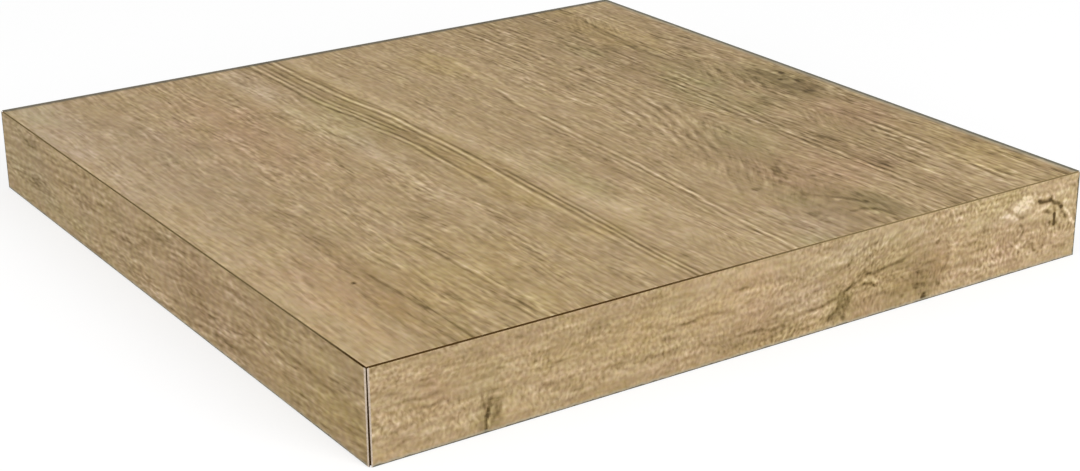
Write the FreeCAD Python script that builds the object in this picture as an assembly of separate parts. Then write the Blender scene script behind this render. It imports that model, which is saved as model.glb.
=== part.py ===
"""Corner stair tread of wood-effect porcelain tile, in millimetres.

A square tile is the top slab. Two strips sawn from the same tile hang from its front and left
edges as lips. The three pieces meet in 45 degree mitres that are glued with dark epoxy, and the
edges of their printed faces are eased by small facets.

X runs along the front lip, Y from the front to the back and Z up. The origin is under the middle
of the tread, at the level of the lips' lower edges.
"""

import FreeCAD
import Part

import math
import os

Vector = FreeCAD.Vector

# Tread
TREAD_WIDTH = 330.0  # along the front lip
TREAD_DEPTH = 330.0  # along the side lip
TREAD_HEIGHT = 36.5  # from the lips' lower edges to the top face
TILE_THICKNESS = 10.0  # of the slab and of both lips

# Mitre joints
LIP_JOINT_GAP = 0.4  # epoxy between the slab and each lip
CORNER_GAP_TOP = 0.45  # epoxy between the two lips, at the level of the top face
CORNER_GAP_FOOT = 0.8  # the same joint at the lips' lower edges, where it stands more open
EPOXY_SETBACK = 0.5  # from the eased edges and the open ends of the joints to the epoxy

# Eased edges of the printed faces: the leg of each 45 degree facet
TOP_EASE = 0.5  # where the top meets the lips
CORNER_EASE = 1.3  # where the two lips meet
FREE_EASE = 0.3  # along the edges that meet no other piece

# Keyed back of the tile, pressed for the bedding adhesive
KEY_PITCH = 20.0  # from one cell to the next
KEY_RIB = 3.0  # between two cells
KEY_DEPTH = 0.6  # of each cell
KEY_MARGIN = 4.5  # least width from a piece's edge to its cells

# The tread is built from its outer corner, where the front lip, the side lip and the floor meet
FOOT_CORNER = Vector(0, 0, 0)
TOP_CORNER = Vector(0, 0, TREAD_HEIGHT)
FAR_CORNER = Vector(TREAD_WIDTH, TREAD_DEPTH, TREAD_HEIGHT)
FRONT, BACK = Vector(0, -1, 0), Vector(0, 1, 0)
LEFT, RIGHT = Vector(-1, 0, 0), Vector(1, 0, 0)
UP, DOWN = Vector(0, 0, 1), Vector(0, 0, -1)
OUT_OF_CORNER = (FRONT + LEFT).normalize()
SLAB_UNDERSIDE = TREAD_HEIGHT - TILE_THICKNESS
LIP_JOINT_RUN = LIP_JOINT_GAP / math.sqrt(2)  # half of the gap, measured square to the top or to a lip
CORNER_JOINT_RUN = CORNER_GAP_FOOT / math.sqrt(2)  # the same for the corner joint, at its widest


def unit(vector):
    """A copy of the vector, one millimetre long."""
    return Vector(vector).normalize()


def across(shape):
    """The shape mirrored in the upright plane through the tread's corner, so X and Y change places."""
    return shape.mirror(FOOT_CORNER, unit(FRONT - LEFT))


def saw(piece, point, outward):
    """The piece without what lies beyond the plane through point that faces outward."""
    reach = piece.BoundBox.DiagonalLength + piece.BoundBox.Center.distanceToPoint(point)
    blade = Part.Plane(point, outward).toShape(-reach, reach, -reach, reach)
    return piece.cut(blade.extrude(unit(outward) * reach))


def mitre_plane(outward, offset):
    """Point and normal of the plane between the slab and the lip that faces outward.

    The plane is offset towards that lip, and its normal points there.
    """
    to_lip = unit(outward + DOWN)
    return TOP_CORNER + to_lip * offset, to_lip


def corner_plane(side):
    """Point and normal of a lip's sawn end in the corner joint, which opens from the top to the foot.

    side is 1 for the front lip's end and -1 for the side lip's. The normal points to the other lip.
    """
    from_joint = unit(FRONT - LEFT) * side
    top = TOP_CORNER + from_joint * (CORNER_GAP_TOP / 2)
    foot = FOOT_CORNER + from_joint * (CORNER_GAP_FOOT / 2)
    return foot, unit((top - foot).cross(OUT_OF_CORNER)) * -side


def facet(edge_point, face, other_face, leg, setback=0.0):
    """Point and normal of the facet that eases the edge between two faces, given by their normals.

    With a setback it is the plane that lies that far inside the facet.
    """
    facing = unit(face + other_face)
    return edge_point - face * leg - facing * setback, facing


def top_facet(outward, setback=0.0):
    """The facet where the top meets the lip that faces outward."""
    return facet(TOP_CORNER, outward, UP, TOP_EASE, setback)


def corner_facet(setback=0.0):
    """The upright facet where the two lips meet."""
    return facet(FOOT_CORNER, FRONT, LEFT, CORNER_EASE, setback)


def key_starts(start, end):
    """Where the cells that fit between two limits begin, spread evenly about the middle."""
    room = end - start - 2 * KEY_MARGIN
    count = max(0, math.floor((room + KEY_RIB) / KEY_PITCH))
    first = (start + end + KEY_RIB - count * KEY_PITCH) / 2
    return [first + index * KEY_PITCH for index in range(count)]


def press_key(tile, cells):
    """The tile with its key cells pressed into its back."""
    return tile.cut(cells) if cells else tile


def make_slab():
    """The top tile, with its front and left edges mitred under."""
    slab = Part.makeBox(TREAD_WIDTH, TREAD_DEPTH, TILE_THICKNESS, Vector(0, 0, SLAB_UNDERSIDE))
    for outward in (FRONT, LEFT):
        slab = saw(slab, *mitre_plane(outward, -LIP_JOINT_GAP / 2))
        slab = saw(slab, *top_facet(outward))
    for outward in (BACK, RIGHT):
        slab = saw(slab, *facet(FAR_CORNER, outward, UP, FREE_EASE))
    cell = KEY_PITCH - KEY_RIB
    inner_edge = TILE_THICKNESS + LIP_JOINT_RUN
    cells = [
        Part.makeBox(cell, cell, KEY_DEPTH, Vector(x, y, SLAB_UNDERSIDE))
        for x in key_starts(inner_edge, TREAD_WIDTH)
        for y in key_starts(inner_edge, TREAD_DEPTH)
    ]
    return press_key(slab, cells)


def make_lip(length):
    """A lip along X from the tread's corner, with its outer face to the front."""
    lip = Part.makeBox(length, TILE_THICKNESS, TREAD_HEIGHT)
    point, to_lip = mitre_plane(FRONT, LIP_JOINT_GAP / 2)
    lip = saw(lip, point, -to_lip)
    lip = saw(lip, *top_facet(FRONT))
    lip = saw(lip, *corner_plane(1))
    lip = saw(lip, *corner_facet())
    lip = saw(lip, *facet(FOOT_CORNER, FRONT, DOWN, FREE_EASE))
    lip = saw(lip, *facet(RIGHT * length, FRONT, RIGHT, FREE_EASE))
    cell = KEY_PITCH - KEY_RIB
    cells = [
        Part.makeBox(cell, KEY_DEPTH, cell, Vector(x, TILE_THICKNESS - KEY_DEPTH, z))
        for x in key_starts(TILE_THICKNESS + CORNER_JOINT_RUN, length)
        for z in key_starts(0, SLAB_UNDERSIDE - LIP_JOINT_RUN)
    ]
    return press_key(lip, cells)


def make_lip_joint(length):
    """The sheet of epoxy between the slab and a lip along X.

    It runs from the middle of the corner joint to the lip's end, and from the eased edge to the
    inner corner, where it is wiped off flush.
    """
    side = TILE_THICKNESS + LIP_JOINT_RUN
    sheet = Part.makeBox(length - EPOXY_SETBACK, side, side, TOP_CORNER + DOWN * side)
    slab_point, to_lip = mitre_plane(FRONT, -LIP_JOINT_GAP / 2)
    lip_point, to_lip = mitre_plane(FRONT, LIP_JOINT_GAP / 2)
    sheet = saw(sheet, slab_point, -to_lip)
    sheet = saw(sheet, lip_point, to_lip)
    sheet = saw(sheet, *top_facet(FRONT, EPOXY_SETBACK))
    sheet = saw(sheet, Vector(0, side, SLAB_UNDERSIDE), BACK + DOWN)
    sheet = saw(sheet, FOOT_CORNER, BACK + LEFT)
    return saw(sheet, *corner_facet(EPOXY_SETBACK))


def make_corner_joint():
    """The upright wedge of epoxy between the sawn ends of the two lips, up to the slab."""
    side = TILE_THICKNESS + CORNER_JOINT_RUN
    wedge = Part.makeBox(side, side, TREAD_HEIGHT - EPOXY_SETBACK, UP * EPOXY_SETBACK)
    for end in (1, -1):
        point, to_other_lip = corner_plane(end)
        wedge = saw(wedge, point, -to_other_lip)
    for outward in (FRONT, LEFT):
        point, to_lip = mitre_plane(outward, -LIP_JOINT_GAP / 2)
        wedge = saw(wedge, point, -to_lip)
        wedge = saw(wedge, *top_facet(outward, EPOXY_SETBACK))
    wedge = saw(wedge, Vector(TILE_THICKNESS, TILE_THICKNESS, 0), BACK + RIGHT)
    return saw(wedge, *corner_facet(EPOXY_SETBACK))


def make_epoxy():
    """The epoxy of all three mitres, which sets as one piece."""
    others = [across(make_lip_joint(TREAD_DEPTH)), make_corner_joint()]
    return make_lip_joint(TREAD_WIDTH).fuse(others).removeSplitter()


def main():
    pieces = {
        "top_slab": make_slab(),
        "front_lip": make_lip(TREAD_WIDTH),
        "side_lip": across(make_lip(TREAD_DEPTH)),
        "joint_epoxy": make_epoxy(),
    }
    os.makedirs("parts", exist_ok=True)
    to_origin = Vector(-TREAD_WIDTH / 2, -TREAD_DEPTH / 2, 0)
    for name, piece in pieces.items():
        piece.translate(to_origin)
        solids = piece.Solids
        volume = round(piece.Volume / 1000, 3)
        print(name, "valid", piece.isValid(), "solids", len(solids), "cm3", volume)
        shape = solids[0] if len(solids) == 1 else piece
        shape.exportStep(f"parts/{name}.step")


main()
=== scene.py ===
# Looks of a corner stair tread in oak-effect porcelain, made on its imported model.
import math
from collections import namedtuple

import bmesh
import bpy
import numpy as np
from mathutils import Matrix, Vector


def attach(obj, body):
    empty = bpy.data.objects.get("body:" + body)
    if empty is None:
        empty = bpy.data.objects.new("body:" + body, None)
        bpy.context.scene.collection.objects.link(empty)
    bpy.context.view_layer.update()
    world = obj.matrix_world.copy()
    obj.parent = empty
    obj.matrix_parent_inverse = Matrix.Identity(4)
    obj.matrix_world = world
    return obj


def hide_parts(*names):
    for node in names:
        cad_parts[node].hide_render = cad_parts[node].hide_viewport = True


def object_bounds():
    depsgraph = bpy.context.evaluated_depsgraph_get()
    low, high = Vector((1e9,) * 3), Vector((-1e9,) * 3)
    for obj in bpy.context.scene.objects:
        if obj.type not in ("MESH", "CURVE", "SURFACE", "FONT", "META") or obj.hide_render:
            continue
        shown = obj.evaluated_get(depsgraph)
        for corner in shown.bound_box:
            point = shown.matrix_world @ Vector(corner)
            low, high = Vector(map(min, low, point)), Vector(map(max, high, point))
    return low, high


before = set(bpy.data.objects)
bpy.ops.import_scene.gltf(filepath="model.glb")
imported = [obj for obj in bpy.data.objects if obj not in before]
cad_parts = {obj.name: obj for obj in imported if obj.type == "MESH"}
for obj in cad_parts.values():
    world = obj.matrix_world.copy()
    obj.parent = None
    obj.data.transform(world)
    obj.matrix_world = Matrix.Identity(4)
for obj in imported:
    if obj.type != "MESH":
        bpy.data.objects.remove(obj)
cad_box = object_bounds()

MM = 0.001
WHITE = (1.0, 1.0, 1.0, 1.0)
FOOT_CORNER = cad_box[0]  # the tread's outer corner, where both lips meet the floor
SIDE = (cad_box[1].x - cad_box[0].x) / MM

# Printed faces: the axis that the grain runs along, the axis across it, the way the face looks, the
# place across the grain of the edge that meets no other piece, and how far in from such an edge its
# rim of painted shade and its worn strip reach
Face = namedtuple("Face", "along across outward free_edge rim worn")
FACES = {
    "top_slab": Face(1, 0, Vector((0, 0, 1)), SIDE, 2.8, 5.2),
    "front_lip": Face(0, 2, Vector((0, -1, 0)), 0.0, 0.7, 1.6),
    "side_lip": Face(1, 2, Vector((-1, 0, 0)), 0.0, 0.7, 1.6),
}

# Parts of a print. Places and sizes are in millimetres from the outer foot corner, along the grain
# first and across it second. A tone is added to the logarithm of the wood's brightness.
#
# Grain has the levels of the ground's parts, the length and width of its fibres, flecks and pores,
# and how far it wanders, leans and sways. It flows round knots, and zones are ovals where a share of
# it leans or is calmed. Strokes are lines through points: streaks and broad bands run with the grain,
# and cracks run any way. A bundle is a course with lines beside it, each at an offset from the course,
# from its start to its end. The shader draws the bundles of a print, which are crisp. The mesh carries
# its families, which are bundles too, with the other marks. Spots and tints are ovals.
Grain = namedtuple("Grain", "bands streaks fibres flecks pores mottle fibre fleck pore wander lean sway")
Knot = namedtuple("Knot", "along across long wide bend")
Zone = namedtuple("Zone", "share along across long wide")
Stroke = namedtuple("Stroke", "tone width points")
Bundle = namedtuple("Bundle", "course lines")
Line = namedtuple("Line", "tone width offset start end")
Spot = namedtuple("Spot", "tone along across long wide")
Tint = namedtuple("Tint", "hue along across long wide")

# A print also has a seed, the steps of its face's grid along and across the grain, with stretches
# along it where the grid is fine, and levels for its brightness and its tints
OFTEN_EMPTY = "fine knots calms bundles families cracks"
Print = namedtuple(
    "Print",
    "seed steps grain brightness hue leans bands strokes spots tints " + OFTEN_EMPTY,
    defaults=[()] * len(OFTEN_EMPTY.split()),
)

# Hues of the soft zones: the change in the logarithm of red over green, and of red over blue
PINK = (0.045, 0.010)
GREEN = (-0.045, -0.005)
YELLOW = (0.0, 0.100)
GREY = (-0.010, -0.095)

TOP_BUNDLES = [
    Bundle(
        course=[(0, 130.8), (33, 131.5), (66, 133.1), (99, 134.4), (132, 135.8), (157, 137.6),
                (190, 137.5), (231, 137), (247, 134.9), (280, 133), (330, 132.8)],
        lines=[
            Line(0.56, 1.3, 0.0, 60, 330), Line(-0.54, 1.3, 2.0, 50, 330), Line(0.26, 1.2, 0.0, 0, 75),
            Line(-0.26, 1.2, 2.0, 0, 60), Line(-0.56, 1.3, -2.0, 140, 330),
            Line(0.34, 1.2, 3.5, 0, 140), Line(-0.54, 1.3, 4.8, 0, 150), Line(0.3, 1.2, 6.3, 0, 120),
            Line(-0.38, 1.2, 7.6, 0, 110), Line(-0.38, 1.2, 4.2, 230, 305),
            Line(0.24, 1.2, -3.7, 150, 240), Line(-0.36, 1.2, -5.4, 150, 240),
            Line(-0.3, 1.2, -2.0, 0, 80),
        ],
    ),
    Bundle(
        course=[(110, 126), (157, 127.3), (190, 127.8), (215, 125), (231, 123.6), (247, 121.3),
                (297, 120.4), (330, 120.4)],
        lines=[
            Line(-0.66, 1.3, 0.0, 115, 330), Line(0.4, 1.2, 1.9, 205, 330),
            Line(0.42, 1.2, -1.9, 125, 225), Line(-0.46, 1.2, -3.6, 145, 225),
            Line(-0.48, 1.2, 3.6, 190, 330), Line(0.28, 1.1, 5.0, 200, 330),
            Line(-0.44, 1.2, 6.6, 180, 330),
        ],
    ),
]

TOP_FAMILIES = [
    Bundle(
        course=[(0, 181), (48, 184.1), (81, 186.9), (114, 189), (148, 189.9), (181, 191.6),
                (206, 193.7), (222, 196.5), (236, 199.3)],
        lines=[
            Line(0.44, 1.3, 0.0, 0, 236), Line(-0.42, 1.3, -1.9, 0, 236), Line(-0.34, 1.3, 1.9, 0, 200),
            Line(0.2, 1.2, -3.4, 20, 190), Line(-0.28, 1.2, -4.8, 10, 190),
            Line(-0.26, 1.2, -7.6, 30, 180), Line(0.18, 1.2, -6.2, 40, 170),
            Line(-0.22, 1.2, -10.4, 40, 150),
        ],
    ),
    Bundle(
        course=[(0, 265.2), (60, 265.6), (114, 266.9), (148, 269.5), (181, 271), (214, 269.6),
                (247, 266.3), (275, 264)],
        lines=[
            Line(0.4, 1.3, 0.0, 20, 215), Line(-0.4, 1.3, 2.0, 0, 230), Line(-0.36, 1.3, -2.0, 0, 250),
            Line(0.22, 1.2, -3.8, 60, 200), Line(-0.26, 1.2, -5.4, 70, 190),
            Line(-0.24, 1.2, 5.0, 60, 170), Line(0.2, 1.2, 3.6, 80, 190),
        ],
    ),
    Bundle(
        course=[(0, 298.3), (8, 298.3), (40, 301.7), (65, 305), (98, 305.8), (130, 305)],
        lines=[
            Line(-0.48, 1.3, 0.0, 0, 128), Line(0.36, 1.3, -2.1, 0, 112),
            Line(-0.24, 1.2, -4.4, 20, 110), Line(0.2, 1.2, 2.2, 10, 100),
            Line(-0.22, 1.2, -8.5, 15, 90), Line(0.22, 1.2, -10.4, 20, 100),
        ],
    ),
    Bundle(
        course=[(195, 291), (222, 289.2), (237, 289.2), (260, 291.7), (280, 293.4), (302, 296.7),
                (318, 300)],
        lines=[
            Line(-0.5, 1.4, 0.0, 196, 316), Line(0.36, 1.3, 2.1, 205, 312),
            Line(-0.26, 1.2, -2.8, 230, 300), Line(0.26, 1.2, -4.6, 240, 305),
            Line(-0.26, 1.2, 5.0, 215, 300), Line(0.22, 1.2, 7.2, 240, 310),
        ],
    ),
    Bundle(
        course=[(205, 239), (250, 238), (290, 237), (330, 236.6)],
        lines=[
            Line(0.38, 1.2, 0.0, 215, 330), Line(-0.34, 1.2, 1.9, 215, 330),
            Line(-0.28, 1.2, -1.9, 225, 330), Line(-0.26, 1.2, -8.0, 205, 290),
            Line(0.24, 1.2, -10.0, 210, 300), Line(-0.24, 1.2, -12.0, 200, 285),
            Line(-0.24, 1.2, 6.5, 240, 320), Line(0.2, 1.2, 8.4, 240, 330),
        ],
    ),
    Bundle(
        course=[(82, 210.5), (91, 214.7), (131, 229.6), (164, 239.5), (189, 244), (212, 246)],
        lines=[
            Line(-0.34, 1.4, 0.0, 84, 205), Line(0.28, 1.3, 2.4, 90, 200),
            Line(-0.34, 1.4, -5.0, 100, 210), Line(0.28, 1.3, -2.8, 100, 205),
            Line(-0.28, 1.4, -10.5, 110, 210), Line(0.26, 1.3, -8.2, 110, 205),
            Line(-0.26, 1.4, -16.0, 125, 212), Line(0.24, 1.3, -13.6, 120, 205),
            Line(-0.3, 1.4, 5.6, 90, 180), Line(0.24, 1.3, 8.4, 95, 170),
            Line(-0.26, 1.4, 11.5, 100, 165),
        ],
    ),
]

TOP_PRINT = Print(
    seed=0,
    steps=(3.0, 0.68),
    fine=[(0, 70), (140, 200)],
    grain=Grain(
        bands=0.1, streaks=0.1, fibres=0.5, flecks=0.32, pores=0.26, mottle=0.08,
        fibre=(18, 1.8), fleck=(4.2, 1.6), pore=(7, 1.0), wander=3.4, lean=0.5, sway=0.0,
    ),
    brightness=0.088,
    hue=1.2,
    knots=[Knot(165, 313, 26, 10, 3), Knot(21, 222, 20, 13, 2), Knot(30, 224, 80, 34, 5)],
    leans=[
        Zone(0.6, 70, 222, 80, 30), Zone(0.6, 130, 236, 50, 24), Zone(0.45, 188, 296, 46, 16),
        Zone(0.6, 290, 294, 40, 16), Zone(0.6, 110, 292, 34, 14), Zone(0.5, 20, 162, 30, 14),
    ],
    calms=[
        Zone(0.42, 165, 12, 600, 66), Zone(0.2, 165, 85, 600, 40), Zone(0.44, 165, 140, 600, 42),
        Zone(0.28, 165, 192, 600, 36), Zone(-0.1, 165, 300, 600, 50), Zone(0.2, 18, 14, 60, 34),
    ],
    bundles=TOP_BUNDLES,
    families=TOP_FAMILIES,
    bands=[
        Stroke(0.17, 22, [(0, 8), (150, 7), (330, 6)]),
        Stroke(-0.19, 11, [(0, 38), (60, 38), (110, 41), (150, 44)]),
        Stroke(0.17, 13, [(90, 104), (200, 106), (330, 104)]),
        Stroke(-0.11, 11, [(150, 131), (197, 130), (263, 127), (330, 125)]),
        Stroke(-0.1, 9, [(0, 136), (100, 138), (190, 141)]),
        Stroke(0.2, 9, [(50, 152), (165, 148), (263, 144), (330, 142)]),
        Stroke(0.13, 26, [(0, 176), (50, 166), (100, 156)]),
        Stroke(-0.17, 75, [(40, 290), (200, 285), (330, 275)]),
        Stroke(-0.14, 28, [(0, 224), (50, 226), (120, 234)]),
        Stroke(-0.11, 15, [(210, 270), (280, 275), (330, 278)]),
        Stroke(-0.17, 12, [(0, 271), (70, 270), (140, 272)]),
        Stroke(0.15, 12, [(235, 301), (290, 304), (330, 307)]),
        Stroke(0.13, 14, [(0, 304), (40, 301), (90, 296)]),
        Stroke(0.18, 7, [(185, 198), (230, 201), (300, 206)]),
        Stroke(-0.1, 7, [(185, 74), (225, 75), (270, 76)]),
        Stroke(-0.12, 30, [(30, 222), (80, 226), (140, 236)]),
    ],
    strokes=[
        Stroke(-0.52, 1.3, [(0, 40.8), (18, 42.3), (38, 40.8), (54, 40), (80, 39)]),
        Stroke(-0.36, 1.3, [(0, 30.8), (22, 27.8), (38, 28.3), (66, 30)]),
        Stroke(-0.34, 1.3, [(0, 35.6), (24, 34), (44, 34)]),
        Stroke(0.26, 1.2, [(0, 38.4), (20, 38.6), (46, 37.6)]),
        Stroke(-0.46, 1.2, [(0, 71.6), (31, 70.8), (58, 70.8), (95, 70.6)]),
        Stroke(0.3, 1.2, [(0, 73.6), (31, 72.8), (70, 72.6)]),
        Stroke(-0.26, 1.2, [(0, 67.6), (30, 67), (60, 67)]),
        Stroke(-0.32, 1.2, [(20, 53.6), (45, 52.5), (55, 51.7), (72, 48), (98, 45)]),
        Stroke(0.16, 1.5, [(118, 101), (135, 101), (155, 102)]),
        Stroke(-0.2, 1.6, [(70, 177.5), (98, 176.7), (123, 178), (155, 180.5)]),
        Stroke(-0.28, 1.6, [(66, 287), (85, 291.7), (103, 296.7), (126, 292.6)]),
        Stroke(0.18, 1.6, [(100, 291), (112, 289.6), (130, 286)]),
        Stroke(-0.24, 1.4, [(90, 240), (112, 243.3), (133, 246.7), (150, 248)]),
        Stroke(-0.2, 1.5, [(60, 227), (72, 232), (95, 243)]),
        Stroke(0.2, 1.5, [(115, 216), (132, 222.5), (160, 227.5)]),
        Stroke(-0.24, 1.5, [(97, 210), (110, 215), (120, 218.5)]),
        Stroke(-0.46, 1.3, [(184, 107.6), (205, 106), (226, 104)]),
        Stroke(-0.18, 1.6, [(195, 223), (230, 225.8), (258, 227.6)]),
        Stroke(0.24, 1.8, [(172, 282), (187, 291), (206, 297.5)]),
        Stroke(-0.24, 1.6, [(170, 286), (187, 294), (208, 301)]),
        Stroke(-0.22, 1.6, [(160, 261), (182, 261.5), (204, 260.6)]),
        Stroke(-0.5, 2.2, [(0, 323), (20, 321.6), (38, 322.6)]),
        Stroke(0.2, 1.8, [(8, 279.5), (18, 284), (32, 288.6)]),
        Stroke(0.22, 1.1, [(56, 51), (75, 48.6), (95, 45.6)]),
        Stroke(-0.22, 1.1, [(54, 52.8), (75, 50.5), (96, 48.4)]),
        Stroke(0.2, 1.1, [(55, 54.6), (75, 52.6), (98, 51)]),
        Stroke(-0.18, 1.1, [(60, 56.4), (78, 54.8), (98, 53.4)]),
        Stroke(0.18, 1.1, [(70, 57.6), (85, 56.6), (100, 56)]),
        Stroke(-0.24, 1.2, [(58, 91.8), (71, 90.8), (86, 91.4)]),
        Stroke(0.18, 1.2, [(62, 93.8), (76, 93), (88, 93.4)]),
        Stroke(-0.24, 1.2, [(84, 80.8), (96, 80), (110, 79)]),
        Stroke(0.22, 1.1, [(84, 82.8), (96, 82), (108, 81)]),
        Stroke(-0.22, 1.2, [(68, 69), (82, 68), (96, 67.4)]),
        Stroke(0.2, 1.2, [(16, 85.6), (30, 84.8), (46, 85.4)]),
        Stroke(-0.2, 1.2, [(14, 83.4), (30, 82.6), (48, 83)]),
        Stroke(0.22, 1.3, [(56, 110), (68, 109), (82, 109.6)]),
        Stroke(-0.2, 1.3, [(58, 104.6), (74, 103.8), (92, 104.2)]),
    ],
    cracks=[
        Stroke(-0.22, 2.0, [(45, 217.5), (40.8, 223.3), (36.7, 227.5), (32.5, 230)]),
        Stroke(-0.5, 2.0, [(33, 229.6), (28.3, 232.5), (23.3, 235.4)]),
        Stroke(-0.2, 2.8, [(23.3, 235.4), (16.7, 239.2), (10, 240.8)]),
        Stroke(-0.4, 2.2, [(15, 232.5), (10.8, 235), (6.7, 235.4)]),
        Stroke(0.24, 1.5, [(176, 300), (162, 297.4), (148, 298.4), (138, 303)]),
        Stroke(-0.4, 1.6, [(18.3, 224.2), (17.9, 229.2), (15.8, 233.3)]),
        Stroke(-0.22, 1.6, [(17.5, 206.7), (20, 213.3)]),
        Stroke(-0.22, 1.5, [(15, 208.7), (10, 210.4)]),
        Stroke(-0.26, 1.4, [(66, 225), (76, 235), (82, 242)]),
        Stroke(0.22, 1.4, [(58, 214), (68, 222), (78, 229)]),
        Stroke(-0.24, 1.4, [(56, 201), (70, 208), (86, 217)]),
        Stroke(0.2, 1.4, [(62, 202), (76, 209), (90, 217)]),
        Stroke(-0.22, 1.4, [(178, 292), (190, 297), (204, 302)]),
        Stroke(0.24, 1.4, [(182, 291), (194, 296), (208, 301)]),
        Stroke(-0.26, 1.4, [(186, 288), (198, 293), (214, 300)]),
        Stroke(0.2, 1.4, [(160, 295), (172, 300), (186, 306)]),
        Stroke(-0.26, 1.3, [(150, 296), (162, 299), (178, 306)]),
    ],
    spots=[
        Spot(-1.0, 64.5, 31.4, 1.5, 1.2), Spot(-0.26, 163, 310, 36, 17), Spot(-0.22, 154, 314.5, 18, 10),
        Spot(-1.2, 174.5, 319.6, 1.9, 1.5), Spot(-0.9, 167.3, 312.4, 1.8, 1.4),
        Spot(-0.6, 170, 317, 1.9, 1.5), Spot(-0.4, 160, 318.5, 3.4, 2.6),
        Spot(-0.24, 145.8, 312.4, 3.0, 5.0), Spot(-0.2, 147.3, 303.3, 4.0, 3.4),
        Spot(0.5, 176.8, 317, 1.8, 1.4), Spot(0.46, 167.7, 320.4, 1.7, 1.4),
        Spot(0.22, 152.6, 314.3, 1.8, 1.1), Spot(0.24, 147.3, 308.6, 1.7, 1.1),
        Spot(0.24, 150.3, 322.3, 2.0, 1.4), Spot(0.3, 178.7, 305.6, 1.8, 1.4),
        Spot(0.46, 31.7, 228.3, 2.4, 2.2), Spot(0.46, 12.9, 229.6, 3.2, 3.0),
        Spot(-0.38, 24.2, 210.4, 3.4, 3.6), Spot(-0.12, 24, 226, 26, 22), Spot(-0.4, 57.5, 238.3, 1.9, 1.7),
        Spot(-0.4, 58.3, 209.6, 1.9, 3.2), Spot(-0.34, 68, 235, 1.6, 1.2), Spot(0.4, 54, 244, 1.7, 1.4),
        Spot(0.36, 66.7, 243.3, 1.8, 1.5), Spot(0.4, 84.6, 250.4, 1.8, 1.3),
        Spot(0.5, 73.3, 266.3, 1.7, 1.2), Spot(0.36, 22.5, 248.8, 1.7, 1.2),
        Spot(0.32, 58.8, 226.3, 1.8, 1.5), Spot(-0.22, 20, 240, 20, 9), Spot(-0.34, 262, 265, 5, 1.6),
        Spot(-0.34, 258, 309, 4.5, 3.5), Spot(-0.22, 226, 96, 2.4, 1.6), Spot(-0.3, 258.5, 95, 2.6, 1.4),
    ],
    tints=[
        Tint(GREEN, 165, 312, 46, 20), Tint(GREEN, 200, 288, 50, 22), Tint(GREEN, 160, 272, 46, 26),
        Tint(GREEN, 112, 246, 30, 20), Tint(GREEN, 20, 238, 24, 14), Tint(GREEN, 40, 214, 14, 12),
        Tint(GREEN, 4, 190, 12, 12), Tint(GREEN, 315, 6, 34, 18), Tint(GREEN, 225, 118, 56, 28),
        Tint(GREEN, 110, 158, 60, 12), Tint(GREEN, 258, 266, 30, 9), Tint(PINK, 240, 74, 96, 32),
        Tint(PINK, 110, 306, 34, 22), Tint(PINK, 58, 248, 34, 34), Tint(PINK, 60, 24, 60, 30),
        Tint(YELLOW, 40, 58, 70, 70), Tint(YELLOW, 165, 132, 200, 15), Tint(YELLOW, 280, 293, 60, 20),
        Tint(YELLOW, 280, 195, 30, 14), Tint(YELLOW, 40, 314, 60, 22), Tint(GREY, 240, 24, 140, 50),
        Tint(GREY, 300, 8, 60, 18), Tint(GREY, 295, 108, 50, 12), Tint(GREY, 190, 108, 30, 10),
        Tint(GREY, 18, 204, 28, 26),
    ],
)

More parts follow.
